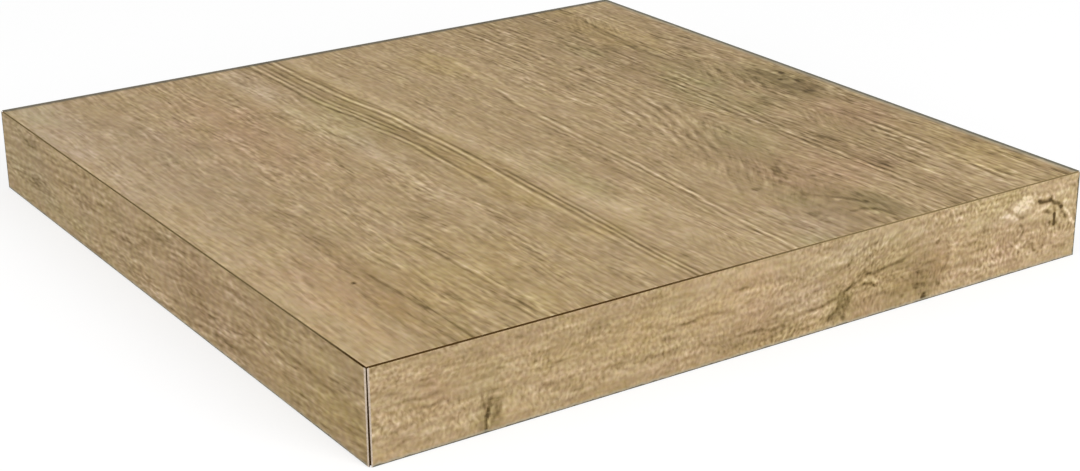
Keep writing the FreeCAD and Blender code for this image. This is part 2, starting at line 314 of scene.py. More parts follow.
FRONT_PRINT = Print(
    seed=40,
    steps=(0.6, 0.42),
    grain=Grain(
        bands=0.12, streaks=0.26, fibres=0.28, flecks=0.46, pores=0.24, mottle=0.26,
        fibre=(12, 1.9), fleck=(1.5, 1.7), pore=(1.2, 1.4), wander=2.5, lean=0.5, sway=3.0,
    ),
    brightness=0.11,
    hue=0.65,
    knots=[Knot(47, 2, 10, 14, 2.5), Knot(230, 2, 32, 17, 4)],
    leans=[Zone(1.0, 222, 26, 34, 14)],
    calms=[
        Zone(0.24, 26, 20, 44, 34), Zone(0.55, 78, 22.5, 9, 7), Zone(0.3, 110, 18, 90, 60),
        Zone(0.2, 160, 30, 60, 30), Zone(0.1, 316, 20, 40, 40),
    ],
    bands=[
        Stroke(-0.1, 10, [(14, 20), (30, 20), (56, 21)]),
        Stroke(-0.1, 4, [(66, 25.5), (85, 26), (104, 27)]),
        Stroke(0.08, 8, [(110, 22), (140, 23), (180, 24)]),
        Stroke(-0.22, 5.0, [(136, 6), (165, 5.6), (200, 5)]),
        Stroke(0.12, 8, [(184, 27), (215, 30), (250, 33)]),
        Stroke(0.16, 14, [(250, 30), (280, 31), (330, 26)]),
        Stroke(0.1, 10, [(254, 6), (290, 8), (330, 10)]),
    ],
    strokes=[
        Stroke(-0.3, 1.5, [(140, 6.8), (160, 8.2), (173, 7.2), (180, 9), (188, 10)]),
        Stroke(-0.72, 1.5, [(180, 9), (186, 10), (196.6, 10.6), (202.5, 12.3), (210, 15.3), (217.5, 17.9),
                            (223, 18.3), (235, 20.2), (240, 21.4), (246, 24.6)]),
        Stroke(-0.42, 1.4, [(2, 22.4), (5.9, 20.5), (16.3, 20.8), (22.2, 19.5), (27, 20.5), (33, 18)]),
        Stroke(-0.44, 1.3, [(20, 17.8), (22.9, 15.9), (26.1, 16.9), (30.4, 18.8)]),
        Stroke(-0.46, 1.2, [(17, 26.4), (22, 26.6), (28, 26)]),
        Stroke(-0.44, 1.2, [(19, 24.2), (24, 24), (28, 23.4)]),
        Stroke(-0.26, 1.2, [(5, 25), (9, 24.4), (15, 23)]),
        Stroke(-0.34, 1.2, [(66, 12.4), (69, 12), (72.4, 12.2)]),
        Stroke(-0.34, 1.2, [(78, 11.8), (80.5, 11.6), (83.6, 11.8)]),
        Stroke(-0.3, 1.2, [(73, 18.9), (76, 18.7), (79, 18.9)]),
        Stroke(-0.42, 1.3, [(7, 4), (11, 5.2), (17, 6.6)]),
        Stroke(-0.16, 1.4, [(34, 22.8), (41.8, 24.7), (50, 24.7)]),
        Stroke(-0.16, 1.4, [(37, 20.4), (45.8, 21.5), (54, 18)]),
        Stroke(-0.42, 1.3, [(47.6, 23.2), (51, 22.8), (55, 22.8)]),
        Stroke(-0.26, 1.2, [(48.6, 26.6), (51.4, 26), (54, 25.6)]),
        Stroke(-0.22, 1.4, [(66, 25), (78.4, 23.4), (90, 24.4)]),
        Stroke(-0.22, 1.4, [(65, 19.8), (78.4, 18.9), (90, 20.6)]),
        Stroke(-0.4, 1.1, [(79, 5.8), (82.4, 5.8), (86.4, 5.6)]),
        Stroke(-0.24, 1.4, [(102, 15.6), (108.8, 12), (115.3, 10.7), (124.4, 10.7), (134, 12.8)]),
        Stroke(-0.34, 1.4, [(112, 23.4), (117.9, 20.8), (125.8, 20.2), (131, 19.2), (138.2, 20.1),
                            (146, 19.3), (158, 18.9)]),
        Stroke(-0.24, 1.2, [(128, 19.5), (131.5, 19.2), (136, 19.8)]),
        Stroke(-0.26, 1.2, [(117, 15.8), (120.6, 15.5), (125.6, 15.2)]),
        Stroke(-0.22, 1.2, [(108, 29.8), (115, 29.6), (122.6, 29)]),
        Stroke(-0.42, 1.1, [(151, 26.2), (156, 26.6), (161.6, 26.3)]),
        Stroke(-0.32, 1.2, [(156, 20.2), (159.6, 21.2), (164, 21.8)]),
        Stroke(-0.34, 1.3, [(158, 7.8), (163, 7.8), (170, 7.2)]),
        Stroke(-0.24, 1.2, [(176, 4.4), (184, 3.6), (193, 2.4)]),
        Stroke(-0.22, 1.2, [(262, 13), (275, 14.6), (288, 13.6)]),
        Stroke(0.3, 1.5, [(277, 19.8), (285.8, 19.2), (292.3, 20.2), (296.9, 21.1), (300, 23)]),
        Stroke(0.34, 1.7, [(299, 23), (306, 23.1), (309.3, 24.1), (316, 25)]),
        Stroke(0.24, 1.3, [(301, 20.4), (308, 21.8), (314, 21)]),
    ],
    cracks=[
        Stroke(-0.9, 1.0, [(45.1, 1), (45.8, 5.8), (46.5, 9)]),
        Stroke(-0.4, 1.1, [(46.5, 8.4), (47.4, 11.4), (48.6, 15)]),
        Stroke(-0.34, 1.0, [(45.8, 7), (44.8, 11), (44.2, 14.6)]),
        Stroke(-0.38, 1.1, [(49.6, 7.4), (50.7, 11.6)]),
        Stroke(-0.34, 1.0, [(51.6, 7.8), (52.4, 12.4)]),
        Stroke(-0.24, 1.0, [(48, 4), (52.4, 8.6)]),
        Stroke(0.4, 0.9, [(46.4, 2), (46.8, 5)]),
        Stroke(-0.36, 1.2, [(205, 11.7), (208.4, 14.3), (210.3, 16.9), (214.2, 19.5), (220.5, 22.6)]),
        Stroke(-0.26, 1.2, [(203.1, 22.4), (207, 24.7), (212.3, 27.3), (216.9, 30), (222.7, 30.6)]),
        Stroke(0.14, 1.6, [(205.8, 21.5), (216.2, 26.7), (226, 30.6), (231.2, 33.2)]),
        Stroke(-0.2, 1.2, [(216, 24.5), (226, 28), (234, 31.6)]),
        Stroke(-0.32, 1.2, [(233.9, 24.1), (238.4, 25.1), (243.6, 26.6)]),
        Stroke(0.32, 1.2, [(214.9, 16.2), (218.8, 16.2), (221.6, 14.2)]),
        Stroke(-0.55, 1.1, [(214.4, 14.6), (218.2, 13.9), (221.4, 12.1)]),
        Stroke(-0.45, 1.3, [(197.6, 3.4), (201.8, 7.1)]),
        Stroke(0.3, 1.2, [(259.6, 24.1), (261.6, 19.5), (261.2, 14.6)]),
        Stroke(-0.3, 1.3, [(258, 21), (258.6, 14.9), (255.7, 10.2)]),
        Stroke(-0.42, 1.0, [(277.2, 23.8), (277.6, 20)]),
        Stroke(-0.46, 1.1, [(289.7, 28.5), (293.4, 26.3), (296.3, 23.7), (298.9, 23)]),
        Stroke(0.5, 1.8, [(286.8, 26.0), (290.5, 25.4), (293.8, 24.0), (295.4, 23.2)]),
        Stroke(-1.15, 1.5, [(307.9, 28.2), (309.2, 27.3), (311.3, 27.5), (313.6, 27.3)]),
        Stroke(-1.05, 1.4, [(314.3, 28.4), (314.5, 26.9), (315.6, 25.6), (317.5, 25.4), (319.4, 24.7),
                            (320.4, 23.3)]),
        Stroke(-0.8, 1.3, [(320.4, 23.3), (320.9, 20.8), (322.6, 20), (323.4, 18.6)]),
        Stroke(-0.85, 1.3, [(311, 23), (313.9, 21.9)]),
        Stroke(-0.6, 1.2, [(316.2, 23.4), (316.4, 20.6)]),
        Stroke(-1.6, 1.0, [(316.5, 20.6), (316.6, 18.2), (317, 16.2)]),
        Stroke(0.7, 1.5, [(321.2, 22.2), (324.1, 20), (327, 16), (328.5, 14.6)]),
        Stroke(0.32, 1.3, [(306, 24.4), (309.5, 24.6), (312.6, 25)]),
        Stroke(0.3, 1.8, [(313.6, 14.8), (317.1, 14), (322.8, 14.4)]),
        Stroke(-0.42, 1.0, [(297.4, 20.4), (299.2, 17.5), (298.4, 14.6)]),
        Stroke(-0.52, 1.1, [(299.3, 10.2), (302.4, 12), (304.7, 10.4), (306, 7.7), (308.6, 6.1),
                            (311, 7.9)]),
        Stroke(-0.28, 1.0, [(309.2, 13.2), (311.3, 11), (310.6, 8.8)]),
        Stroke(-0.3, 1.2, [(315, 9.2), (318.4, 6.4), (324, 5.7)]),
    ],
    spots=[
        Spot(-0.26, 46.5, 5, 6.0, 12), Spot(-0.2, 49.8, 5.2, 3.4, 4.4), Spot(0.24, 42.4, 12.2, 1.8, 1.4),
        Spot(-0.45, 3.3, 15.3, 1.2, 1.1), Spot(-0.22, 93, 28.5, 5.0, 3.0), Spot(-0.6, 205, 8.4, 4.4, 5.2),
        Spot(-0.42, 201, 4.6, 4.4, 2.6), Spot(-0.7, 205.1, 2.6, 1.3, 1.2), Spot(-0.12, 214.5, 7, 8.0, 7.0),
        Spot(0.2, 194.5, 8, 4.4, 1.8), Spot(-0.22, 236, 9, 22, 11), Spot(-0.2, 248, 12, 10, 15),
        Spot(-1.0, 247, 2, 1.9, 2.0), Spot(-0.45, 242.7, 7.2, 1.6, 1.5), Spot(-0.36, 245.6, 7, 1.3, 1.2),
        Spot(-0.36, 235, 4.6, 1.6, 1.2), Spot(-0.5, 254, 5.2, 1.5, 1.6), Spot(-0.42, 242.6, 13.6, 2.0, 1.6),
        Spot(-0.55, 252.8, 23, 1.7, 1.3), Spot(0.34, 251.8, 24.8, 1.6, 1.0),
        Spot(0.42, 298.4, 28.6, 7.6, 3.6), Spot(0.2, 301.4, 29.2, 3.4, 2.4),
        Spot(0.18, 295.2, 27.6, 3.2, 2.0), Spot(0.46, 315.1, 27.9, 1.0, 1.4),
        Spot(0.36, 322.3, 25.6, 1.7, 1.3), Spot(0.3, 318.3, 21.8, 1.4, 2.0),
        Spot(-0.6, 314.4, 17.5, 1.1, 1.0), Spot(0.46, 296.9, 11, 1.4, 1.3),
        Spot(-0.55, 297.6, 8.4, 1.3, 1.4), Spot(0.3, 299.8, 14.2, 1.6, 1.2),
    ],
    tints=[
        Tint(GREEN, 47, 10, 13, 24), Tint(GREEN, 204.5, 7, 9, 10), Tint(GREEN, 216, 29, 36, 12),
        Tint(GREEN, 282, 31, 28, 9), Tint(GREEN, 322, 22, 12, 10), Tint(PINK, 216, 6, 11, 10),
        Tint(PINK, 158, 18, 34, 20), Tint(PINK, 254, 17, 6, 14), Tint(PINK, 294, 11, 50, 12),
        Tint(PINK, 25, 20, 10, 16), Tint(YELLOW, 230, 14, 36, 16), Tint(YELLOW, 110, 20, 60, 12),
        Tint(YELLOW, 170, 2, 34, 6), Tint(YELLOW, 280, 33, 20, 7), Tint(GREY, 215, 31, 46, 8),
        Tint(GREY, 298, 27, 16, 5), Tint(GREY, 185, 22, 16, 20),
    ],
)

SIDE_PRINT = Print(
    seed=80,
    steps=(0.8, 0.5),
    grain=Grain(
        bands=0.15, streaks=0.16, fibres=0.44, flecks=0.42, pores=0.23, mottle=0.06,
        fibre=(32, 1.8), fleck=(4.0, 1.5), pore=(9, 1.1), wander=2.5, lean=-0.08, sway=0.0,
    ),
    brightness=0.12,
    hue=0.75,
    leans=[Zone(0.9, 165, 18, 500, 70)],
    bands=[
        Stroke(0.07, 5, [(0, 27), (50, 27), (110, 28)]),
        Stroke(0.08, 5, [(0, 13), (60, 13.6), (120, 14)]),
        Stroke(-0.09, 7, [(85, 22), (140, 23), (300, 25)]),
    ],
    strokes=[
        Stroke(-0.36, 1.7, [(8, 19.2), (33, 19.2), (41.5, 19.5), (53, 19.6), (74, 19.6)]),
        Stroke(0.18, 1.6, [(40, 21.6), (64, 21.6)]),
        Stroke(-0.24, 1.4, [(48, 11), (56, 11.2), (66, 11)]),
        Stroke(-0.2, 1.6, [(76, 14.4), (93, 15.4), (104, 15)]),
        Stroke(-0.24, 1.6, [(80, 28.8), (95, 29.2), (108, 29)]),
        Stroke(-0.26, 1.6, [(106, 12.4), (122, 12.4), (140, 12.6)]),
        Stroke(0.2, 1.6, [(139, 5), (146, 12), (154, 19)]),
        Stroke(-0.2, 1.6, [(135, 5), (142, 12), (149, 19)]),
        Stroke(-0.2, 1.5, [(172, 25), (180, 20.4), (188, 17.4)]),
        Stroke(-0.18, 1.6, [(176, 27), (200, 28), (222, 27)]),
        Stroke(-0.2, 1.7, [(226, 24), (245, 24.6), (268, 24)]),
        Stroke(0.2, 1.6, [(198, 13.4), (205, 13.8), (214, 13.4)]),
        Stroke(-0.18, 1.7, [(255, 12), (270, 12.6), (290, 12)]),
        Stroke(-0.16, 1.6, [(282, 29), (296, 30), (312, 30)]),
    ],
    spots=[Spot(-0.1, 130, 18, 20, 7), Spot(-0.2, 10, 20, 5, 1.4), Spot(-0.3, 241.5, 18.4, 2.4, 1.4)],
    tints=[
        Tint(PINK, 120, 18, 90, 26), Tint(GREEN, 306, 16, 46, 30), Tint(GREEN, 255, 8, 30, 10),
        Tint(YELLOW, 35, 16, 60, 30), Tint(YELLOW, 20, 14, 34, 10), Tint(GREY, 298, 20, 44, 26),
    ],
)

PRINTS = {"top_slab": TOP_PRINT, "front_lip": FRONT_PRINT, "side_lip": SIDE_PRINT}

# Colours of the print by tone, from dark pores to cream
PALETTE = [
    (-1.2, (0.085, 0.052, 0.018, 1.0)),
    (-0.6, (0.220, 0.149, 0.066, 1.0)),
    (0.0, (0.398, 0.281, 0.147, 1.0)),
    (0.45, (0.562, 0.420, 0.243, 1.0)),
    (1.00, (0.820, 0.655, 0.430, 1.0)),
]

# Noises: a number of their own, which is added to a print's seed, the length of their patches along
# the grain, the width across it, and their level
Noise = namedtuple("Noise", "number length width level", defaults=[1.0])

# Noises of the shaders
WANDER = Noise(1, 90, 34)
RIPPLE = Noise(2, 26, 9, 0.2)
BAND = Noise(3, 260, 18)
MOTTLE = Noise(6, 8, 3.4)
PINK_DRIFT = Noise(8, 14, 8, 0.04)
YELLOW_DRIFT = Noise(9, 22, 9, 0.08)
RAGGED_EDGE = Noise(10, 3, 3, 0.5)
BROKEN_MARK = Noise(11, 5.0, 1.2, 0.45)
GLAZE_CLOUD = Noise(12, 9, 3, 0.08)
PINK_SPECK = Noise(14, 2.2, 1.5, 0.07)
YELLOW_SPECK = Noise(15, 3.0, 1.6, 0.16)
LIVELINESS = Noise(16, 40, 9)
SWAY = Noise(17, 30, 16)
LINE_DRIFT = Noise(18, 30, 9, 0.5)
BROKEN_LINE = Noise(19, 22, 2.6, 0.5)
STREAK_NUMBER, FIBRE_NUMBER, PORE_NUMBER, FLECK_NUMBER = 4, 5, 7, 13
STREAK_LENGTH = 4.5  # in lengths of a fibre
STREAK_WIDTH = 2.8
NUMBER_STEP = (7.31, 3.77)  # between the places where two noises with neighbouring numbers are read
LAYERED, SINGLE = 2.0, 0.0  # detail of a noise with finer layers and of one without

# Noises on arrays
RAGGED_ALONG = Noise(1, 2.6, 2.2, 0.5)
RAGGED_ACROSS = Noise(2, 4.5, 3.5, 0.4)
HUE_DRIFT = Noise(4, 14, 8, 0.3)
PRESSED_WAVE = Noise(6, 60, 12)
PRESSED_FIBRE_NUMBER = 5
PRESSED_FIBRE_LENGTH = 2.2  # in lengths of a printed fibre
PRESSED_FIBRE_WIDTH = 1.6

# Edges of the marks. Where two numbers are given, a mark is whole at the first and gone at the second.
STROKE_REACH = 0.9  # in widths of the stroke
CRACK_CORE = 0.15  # in widths of the crack
LINE_CORE = 0.1  # in widths of the line
SPOT_EDGE = (0.45, 1.1)  # in reaches of an oval, as is the next
ZONE_EDGE = (0.1, 1.1)
STROKE_TAPER = 15.0
TAPER_SHARE = 0.4  # of a stroke's length, at most
LINE_TAPER = 20.0
END_SLACK = 1.0  # a stroke that stops this near to the face's end doesn't taper
KNOT_CORE = 0.5  # keeps the bend of the grain finite at a knot's middle

# Levels of the fine grain and of the marks
PORE_EDGE = (0.1, 0.5)  # of its noise, where a pore starts and where it is darkest
LIVELY_EDGE = (-0.5, 0.5)  # of its noise, where the grain is calmest and where it is liveliest
CALM_LEVEL = 0.55
LIVELY_GAIN = 0.9
MARK_LEVEL = 1.15

# Glaze, painted edge shade, raw porcelain and glue
# painted shade, on the printed faces' free edges and on eased facets that face away from the light
EDGE_SHADE_COLOUR = (0.090, 0.088, 0.064, 1.0)
EDGE_SHADE_COVER = 0.8  # of the rim of painted shade over the print
EDGE_SHADE_CORE = 0.5  # share of the painted-shade rim that covers in full
END_SHARE = 0.6  # of the distance from the grain's far end, so the painted-shade rim is wider there
WORN_COLOUR = (0.390, 0.355, 0.262, 1.0)
WORN_COVER = 0.6  # of the worn strip over the print
WORN_CORE = 0.45  # share of the worn strip that covers in full
BODY_COLOUR = (0.66, 0.54, 0.42, 1.0)
SPECK_SHADE = 0.72  # of the body's colour
SPECK_WEIGHT = 0.7  # of the specks against the clouds
SPECK_EDGE = (0.35, 0.68)  # of their noise, where a speck is darkest and where it ends
EPOXY_COLOUR = (0.095, 0.050, 0.015, 1.0)
FAR_EPOXY_COLOUR = (0.300, 0.222, 0.108, 1.0)
EPOXY_FADE_RIGHT = (100, 220)  # where the corner's dark glue ends and where the far brown starts
EPOXY_FADE_BACK = (2, 40)
EPOXY_FADE_NOISE = 0.5

# Pressed grain, in millimetres
PRESSED_FIBRE_DEPTH = 0.02
PRESSED_WAVE_DEPTH = 0.03
PRESSED_MARK_DEPTH = 0.09
DARKEST_MARK = 1.5
PRESSED_RIM = 1.2  # the pressed grain fades out this near to a face's edge

# Grid of a printed face
FINE_STEP = 1.0
GRID_TRIALS = 4000  # places at which the density of the steps is summed

# Faces of a tile's solid
SAME_PLACE = 1e-6  # in metres
SAME_PLANE = math.radians(0.5)
FACING = 0.999  # a face whose normal has a part over this along a direction looks that way
SQUARE = 0.8  # a face whose normal has a part over this is square to an axis
SLANTING = 0.5  # a face whose normal has a part over this slants to that side
LEAST_MITRE_AREA = 300.0  # in square millimetres, more than any eased edge has
PRINT_LOOK, BODY_LOOK, GLUE_LOOK, SHADED_FACET_LOOK = range(4)

# Camera, in metres and degrees
SENSOR_WIDTH = 36.0
LENS = 69.75
CAMERA_PLACE = (-0.4567, -0.7066, 0.3203)
AZIMUTH, ELEVATION, ROLL = -33.585, 21.285, 0.501

# Light and floor
WORLD_LIGHT = 0.58
FLOOR_COLOUR = (0.32, 0.32, 0.32, 1.0)
FLOOR_GLOW = 0.72  # lifts the lit floor to white where it is seen
FLOOR_REACH = 6.0
FLOOR_DROP = 0.05 * MM  # from the lips' lower edges to the floor
COLOUR_A, COLOUR_B, COLOUR_RESULT = 6, 7, 2  # sockets of a mix node that are for colours


class Field:
    """A number that varies over a surface: the output of a shader node, with arithmetic."""

    def __init__(self, socket):
        self.socket = socket
        self.tree = socket.id_data

    def math(self, operation, *others):
        node = self.tree.nodes.new("ShaderNodeMath")
        node.operation = operation
        for slot, value in zip(node.inputs, (self, *others)):
            wire(value, slot)
        return Field(node.outputs[0])

    def __add__(self, other):
        return self.math("ADD", other)

    def __sub__(self, other):
        return self.math("SUBTRACT", other)

    def __mul__(self, other):
        return self.math("MULTIPLY", other)

    def __rsub__(self, other):
        return self.math("MULTIPLY_ADD", -1.0, other)

    def __abs__(self):
        return self.math("ABSOLUTE")

    __radd__ = __add__
    __rmul__ = __mul__


def wire(value, slot):
    """Feed a node's input with a field or a plain value."""
    if isinstance(value, Field):
        value.tree.links.new(value.socket, slot)
    else:
        slot.default_value = value


def ramp(value, low, high):
    """0 up to low, 1 from high on and smooth between, of a field or an array."""
    if not isinstance(value, Field):
        share = np.clip((value - low) / (high - low), 0, 1)
        return share * share * (3 - 2 * share)
    node = value.tree.nodes.new("ShaderNodeMapRange")
    node.interpolation_type = "SMOOTHSTEP"
    wire(value, node.inputs["Value"])
    node.inputs["From Min"].default_value = low
    node.inputs["From Max"].default_value = high
    return Field(node.outputs["Result"])


def noise(along, across, kind, seed, detail=LAYERED):
    """Noise over a printed face, from about -level to level of its kind."""
    tree, number = along.tree, seed + kind.number
    place = tree.nodes.new("ShaderNodeCombineXYZ")
    wire(along.math("MULTIPLY_ADD", 1 / kind.length, NUMBER_STEP[0] * number), place.inputs[0])
    wire(across.math("MULTIPLY_ADD", 1 / kind.width, NUMBER_STEP[1] * number), place.inputs[1])
    node = tree.nodes.new("ShaderNodeTexNoise")
    node.noise_dimensions = "2D"
    tree.links.new(place.outputs[0], node.inputs["Vector"])
    node.inputs["Scale"].default_value = 1.0
    node.inputs["Detail"].default_value = detail
    return Field(node.outputs[0]).math("MULTIPLY_ADD", 2 * kind.level, -kind.level)


def lattice_noise(along, across, kind, seed):
    """Smooth noise on arrays, from -level to level of its kind."""
    rows, columns = along / kind.length + 1, across / kind.width + 1
    draws = np.random.default_rng(seed + kind.number)
    values = draws.uniform(-1, 1, (int(rows.max()) + 3, int(columns.max()) + 3))
    row, column = np.floor(rows).astype(int), np.floor(columns).astype(int)
    down, right = ramp(rows - row, 0, 1), ramp(columns - column, 0, 1)
    near = values[row, column] * (1 - right) + values[row, column + 1] * right
    far = values[row + 1, column] * (1 - right) + values[row + 1, column + 1] * right
    return kind.level * (near * (1 - down) + far * down)


def mix(tree, factor, first, second, blend="MIX"):
    """A colour socket that blends two colours, each a socket or a plain colour."""
    node = tree.nodes.new("ShaderNodeMix")
    node.data_type = "RGBA"
    node.blend_type = blend
    wire(factor, node.inputs["Factor"])
    for slot, colour in ((node.inputs[COLOUR_A], first), (node.inputs[COLOUR_B], second)):
        if isinstance(colour, tuple):
            slot.default_value = colour
        else:
            tree.links.new(colour, slot)
    return node.outputs[COLOUR_RESULT]


# The functions from here to print_fields draw a print on arrays of places along and across the grain


def smooth_line(places, points):
    """Heights at places of the smooth curve through points, level past its ends."""
    starts, heights = np.array(points, float).T
    slopes = np.gradient(heights, starts)
    index = np.clip(np.searchsorted(starts, places) - 1, 0, len(starts) - 2)
    span = starts[index + 1] - starts[index]
    share = np.clip((places - starts[index]) / span, 0, 1)
    rest = 1 - share
    from_start = rest * rest * ((1 + 2 * share) * heights[index] + share * span * slopes[index])
    to_end = share * share * ((3 - 2 * share) * heights[index + 1] - rest * span * slopes[index + 1])
    return from_start + to_end


def beside_course(course, line):
    """The stroke of a line that runs beside a course, from its start to its end."""
    inner = [place for place, _ in course if line.start < place < line.end]
    places = np.array([line.start, *inner, line.end], float)
    return Stroke(line.tone, line.width, list(zip(places, smooth_line(places, course) + line.offset)))


def course_key(number):
    """The name under which the mesh carries the distance from a bundle's course."""
    return f"course_{number}"


def stroke_mask(along, across, stroke):
    """1 on the line of a stroke and 0 away from it. It tapers at ends that lie inside the face."""
    mask = 1 - ramp(abs(across - smooth_line(along, stroke.points)), 0, STROKE_REACH * stroke.width)
    start, end = stroke.points[0][0], stroke.points[-1][0]
    taper = min(STROKE_TAPER, TAPER_SHARE * (end - start))
    if start > 0:
        mask = mask * ramp(along, start, start + taper)
    if end + END_SLACK < SIDE:
        mask = mask * (1 - ramp(along, end - taper, end))
    return mask


def oval(along, across, place):
    """Distance from the middle of a knot, zone, spot or tint, 1 at its rim."""
    return np.hypot((along - place.along) / place.long, (across - place.across) / place.wide)


def soft(reach):
    """1 in the middle of an oval and 0 past its rim."""
    return 1 - ramp(reach, *ZONE_EDGE)


def crack_mask(along, across, crack):
    """1 on the line through a crack's points, in any direction, and 0 away from it."""
    nearest = np.full_like(along, np.inf)
    for start, end in zip(crack.points, crack.points[1:]):
        run = (end[0] - start[0], end[1] - start[1])
        ahead, aside = along - start[0], across - start[1]
        share = np.clip((ahead * run[0] + aside * run[1]) / (run[0] ** 2 + run[1] ** 2), 0, 1)
        nearest = np.minimum(nearest, np.hypot(ahead - share * run[0], aside - share * run[1]))
    return 1 - ramp(nearest, CRACK_CORE * crack.width, crack.width)


def marks_tone(along, across, design):
    """Tone of the marks that the mesh carries: streaks, families, cracks and spots, a little ragged."""
    ragged_along = along + lattice_noise(along, across, RAGGED_ALONG, design.seed)
    ragged_across = across + lattice_noise(along, across, RAGGED_ACROSS, design.seed)
    tone = np.zeros_like(along)
    beside = [beside_course(family.course, line) for family in design.families for line in family.lines]
    for stroke in [*design.strokes, *beside]:
        tone += stroke.tone * stroke_mask(along, ragged_across, stroke)
    for crack in design.cracks:
        tone += crack.tone * crack_mask(ragged_along, ragged_across, crack)
    for spot in design.spots:
        tone += spot.tone * (1 - ramp(oval(ragged_along, ragged_across, spot), *SPOT_EDGE))
    return tone


def bands_tone(along, across, design):
    """Tone of the print's broad bands."""
    return sum(band.tone * stroke_mask(along, across, band) for band in design.bands)


def grain_shift(along, across, design):
    """How far the grain is pushed across where it flows round knots."""
    shift = np.zeros_like(along)
    for knot in design.knots:
        reach = oval(along, across, knot)
        shift -= (across - knot.across) * (knot.bend / knot.wide) / (reach * reach + KNOT_CORE)
    return shift


def lean_share(along, across, design):
    """How much of the grain leans, from 0 to 1."""
    share = np.zeros_like(along)
    for lean in design.leans:
        share = np.maximum(share, lean.share * soft(oval(along, across, lean)))
    return share


def grain_strength(along, across, design):
    """How strong the fine grain is: under 1 in calm zones, over 1 in lively ones."""
    strength = np.ones_like(along)
    for calm in design.calms:
        strength *= 1 - calm.share * soft(oval(along, across, calm))
    return strength


def hue_shift(along, across, design, part):
    """One part of the hue of the print's soft zones."""
    drift = lattice_noise(along, across, HUE_DRIFT, design.seed)
    return design.hue * sum(tint.hue[part] * soft(oval(along, across, tint) + drift) for tint in design.tints)


def print_fields(along, across, marks, design):
    """What the mesh carries of a print for the shader, by name."""
    fields = {
        "marks": marks,
        "bands": bands_tone(along, across, design),
        "shift": grain_shift(along, across, design),
        "lean": lean_share(along, across, design),
        "strength": grain_strength(along, across, design),
        "pink": hue_shift(along, across, design, 0),
        "yellow": hue_shift(along, across, design, 1),
    }
    for number, bundle in enumerate(design.bundles):
        fields[course_key(number)] = across - smooth_line(along, bundle.course)
    return fields


def object_place(tree):
    """The socket of a point's place in its piece."""
    return tree.nodes.new("ShaderNodeTexCoord").outputs["Object"]


def place_field(tree, axis):
    """Millimetres from the foot corner along an axis, as a field."""
    split = tree.nodes.new("ShaderNodeSeparateXYZ")
    tree.links.new(object_place(tree), split.inputs[0])
    return Field(split.outputs[axis]).math("MULTIPLY_ADD", 1 / MM, -FOOT_CORNER[axis] / MM)


def mesh_field(tree, name):
    """A number that the mesh carries at its vertices, as a field."""
    node = tree.nodes.new("ShaderNodeAttribute")
    node.attribute_name = name
    return Field(node.outputs["Fac"])


def solid_noise(tree, grains, detail=LAYERED):
    """Noise from 0 to 1 through a solid, with so many grains in a metre."""
    node = tree.nodes.new("ShaderNodeTexNoise")
    node.inputs["Scale"].default_value = grains
    node.inputs["Detail"].default_value = detail
    tree.links.new(object_place(tree), node.inputs["Vector"])
    return Field(node.outputs[0])


def bundle_tone(along, across, design):
    """Tone of the long lines that run side by side with the courses of the print's bundles."""
    tree, seed = along.tree, design.seed
    tone = mesh_field(tree, "bands")
    level = noise(along, across, BROKEN_LINE, seed) + 1.0
    drift = noise(along, across, LINE_DRIFT, seed)
    for number, bundle in enumerate(design.bundles):
        course = mesh_field(tree, course_key(number)) + drift
        for line in bundle.lines:
            mask = 1 - ramp(abs(course - line.offset), LINE_CORE * line.width, line.width)
            if line.start > LINE_TAPER:
                mask = mask * ramp(along, line.start, line.start + LINE_TAPER)
            if line.end + LINE_TAPER < SIDE:
                mask = mask * (1 - ramp(along, line.end - LINE_TAPER, line.end))
            tone = tone + mask * level * line.tone
    return tone


def fibre_tone(along, flow, design):
    """Tone of the fine grain: long fibres, short flecks and dark pores."""
    grain, seed = design.grain, design.seed
    fibres = noise(along, flow, Noise(FIBRE_NUMBER, *grain.fibre, grain.fibres), seed, SINGLE)
    flecks = noise(along, flow, Noise(FLECK_NUMBER, *grain.fleck, grain.flecks), seed, SINGLE)
    pores = ramp(noise(along, flow, Noise(PORE_NUMBER, *grain.pore), seed, SINGLE), *PORE_EDGE)
    return fibres + flecks - pores * grain.pores


def grain_tone(along, across, design):
    """Tone of the grain: bands, streaks and mottle, and fine grain that leans in places."""
    tree, grain, seed = along.tree, design.grain, design.seed
    wander = noise(along, across, WANDER, seed) + noise(along, across, RIPPLE, seed)
    flow = across + mesh_field(tree, "shift") + wander * grain.wander
    streak = Noise(STREAK_NUMBER, STREAK_LENGTH * grain.fibre[0], STREAK_WIDTH)
    tone = noise(along, flow, BAND, seed) * grain.bands
    tone = tone + noise(along, flow, streak, seed) * grain.streaks
    tone = tone + noise(along, flow, MOTTLE, seed) * grain.mottle
    swayed = along + noise(along, across, SWAY, seed) * grain.sway if grain.sway else along
    upright = fibre_tone(swayed, flow, design)
    leaning = fibre_tone(swayed, flow - along * grain.lean, design)
    strength = ramp(noise(along, flow, LIVELINESS, seed), *LIVELY_EDGE) * LIVELY_GAIN + CALM_LEVEL
    strength = strength * mesh_field(tree, "strength")
    return tone + (upright + (leaning - upright) * mesh_field(tree, "lean")) * strength


def tone_colour(tone):
    """The palette's colour for a tone."""
    low, high = PALETTE[0][0], PALETTE[-1][0]
    node = tone.tree.nodes.new("ShaderNodeValToRGB")
    stops = node.color_ramp.elements
    while len(stops) < len(PALETTE):
        stops.new(0.5)
    for stop, (level, colour) in zip(stops, PALETTE):
        stop.position = (level - low) / (high - low)
        stop.color = colour
    wire(tone.math("MULTIPLY_ADD", 1 / (high - low), -low / (high - low)), node.inputs[0])
    return node.outputs[0]


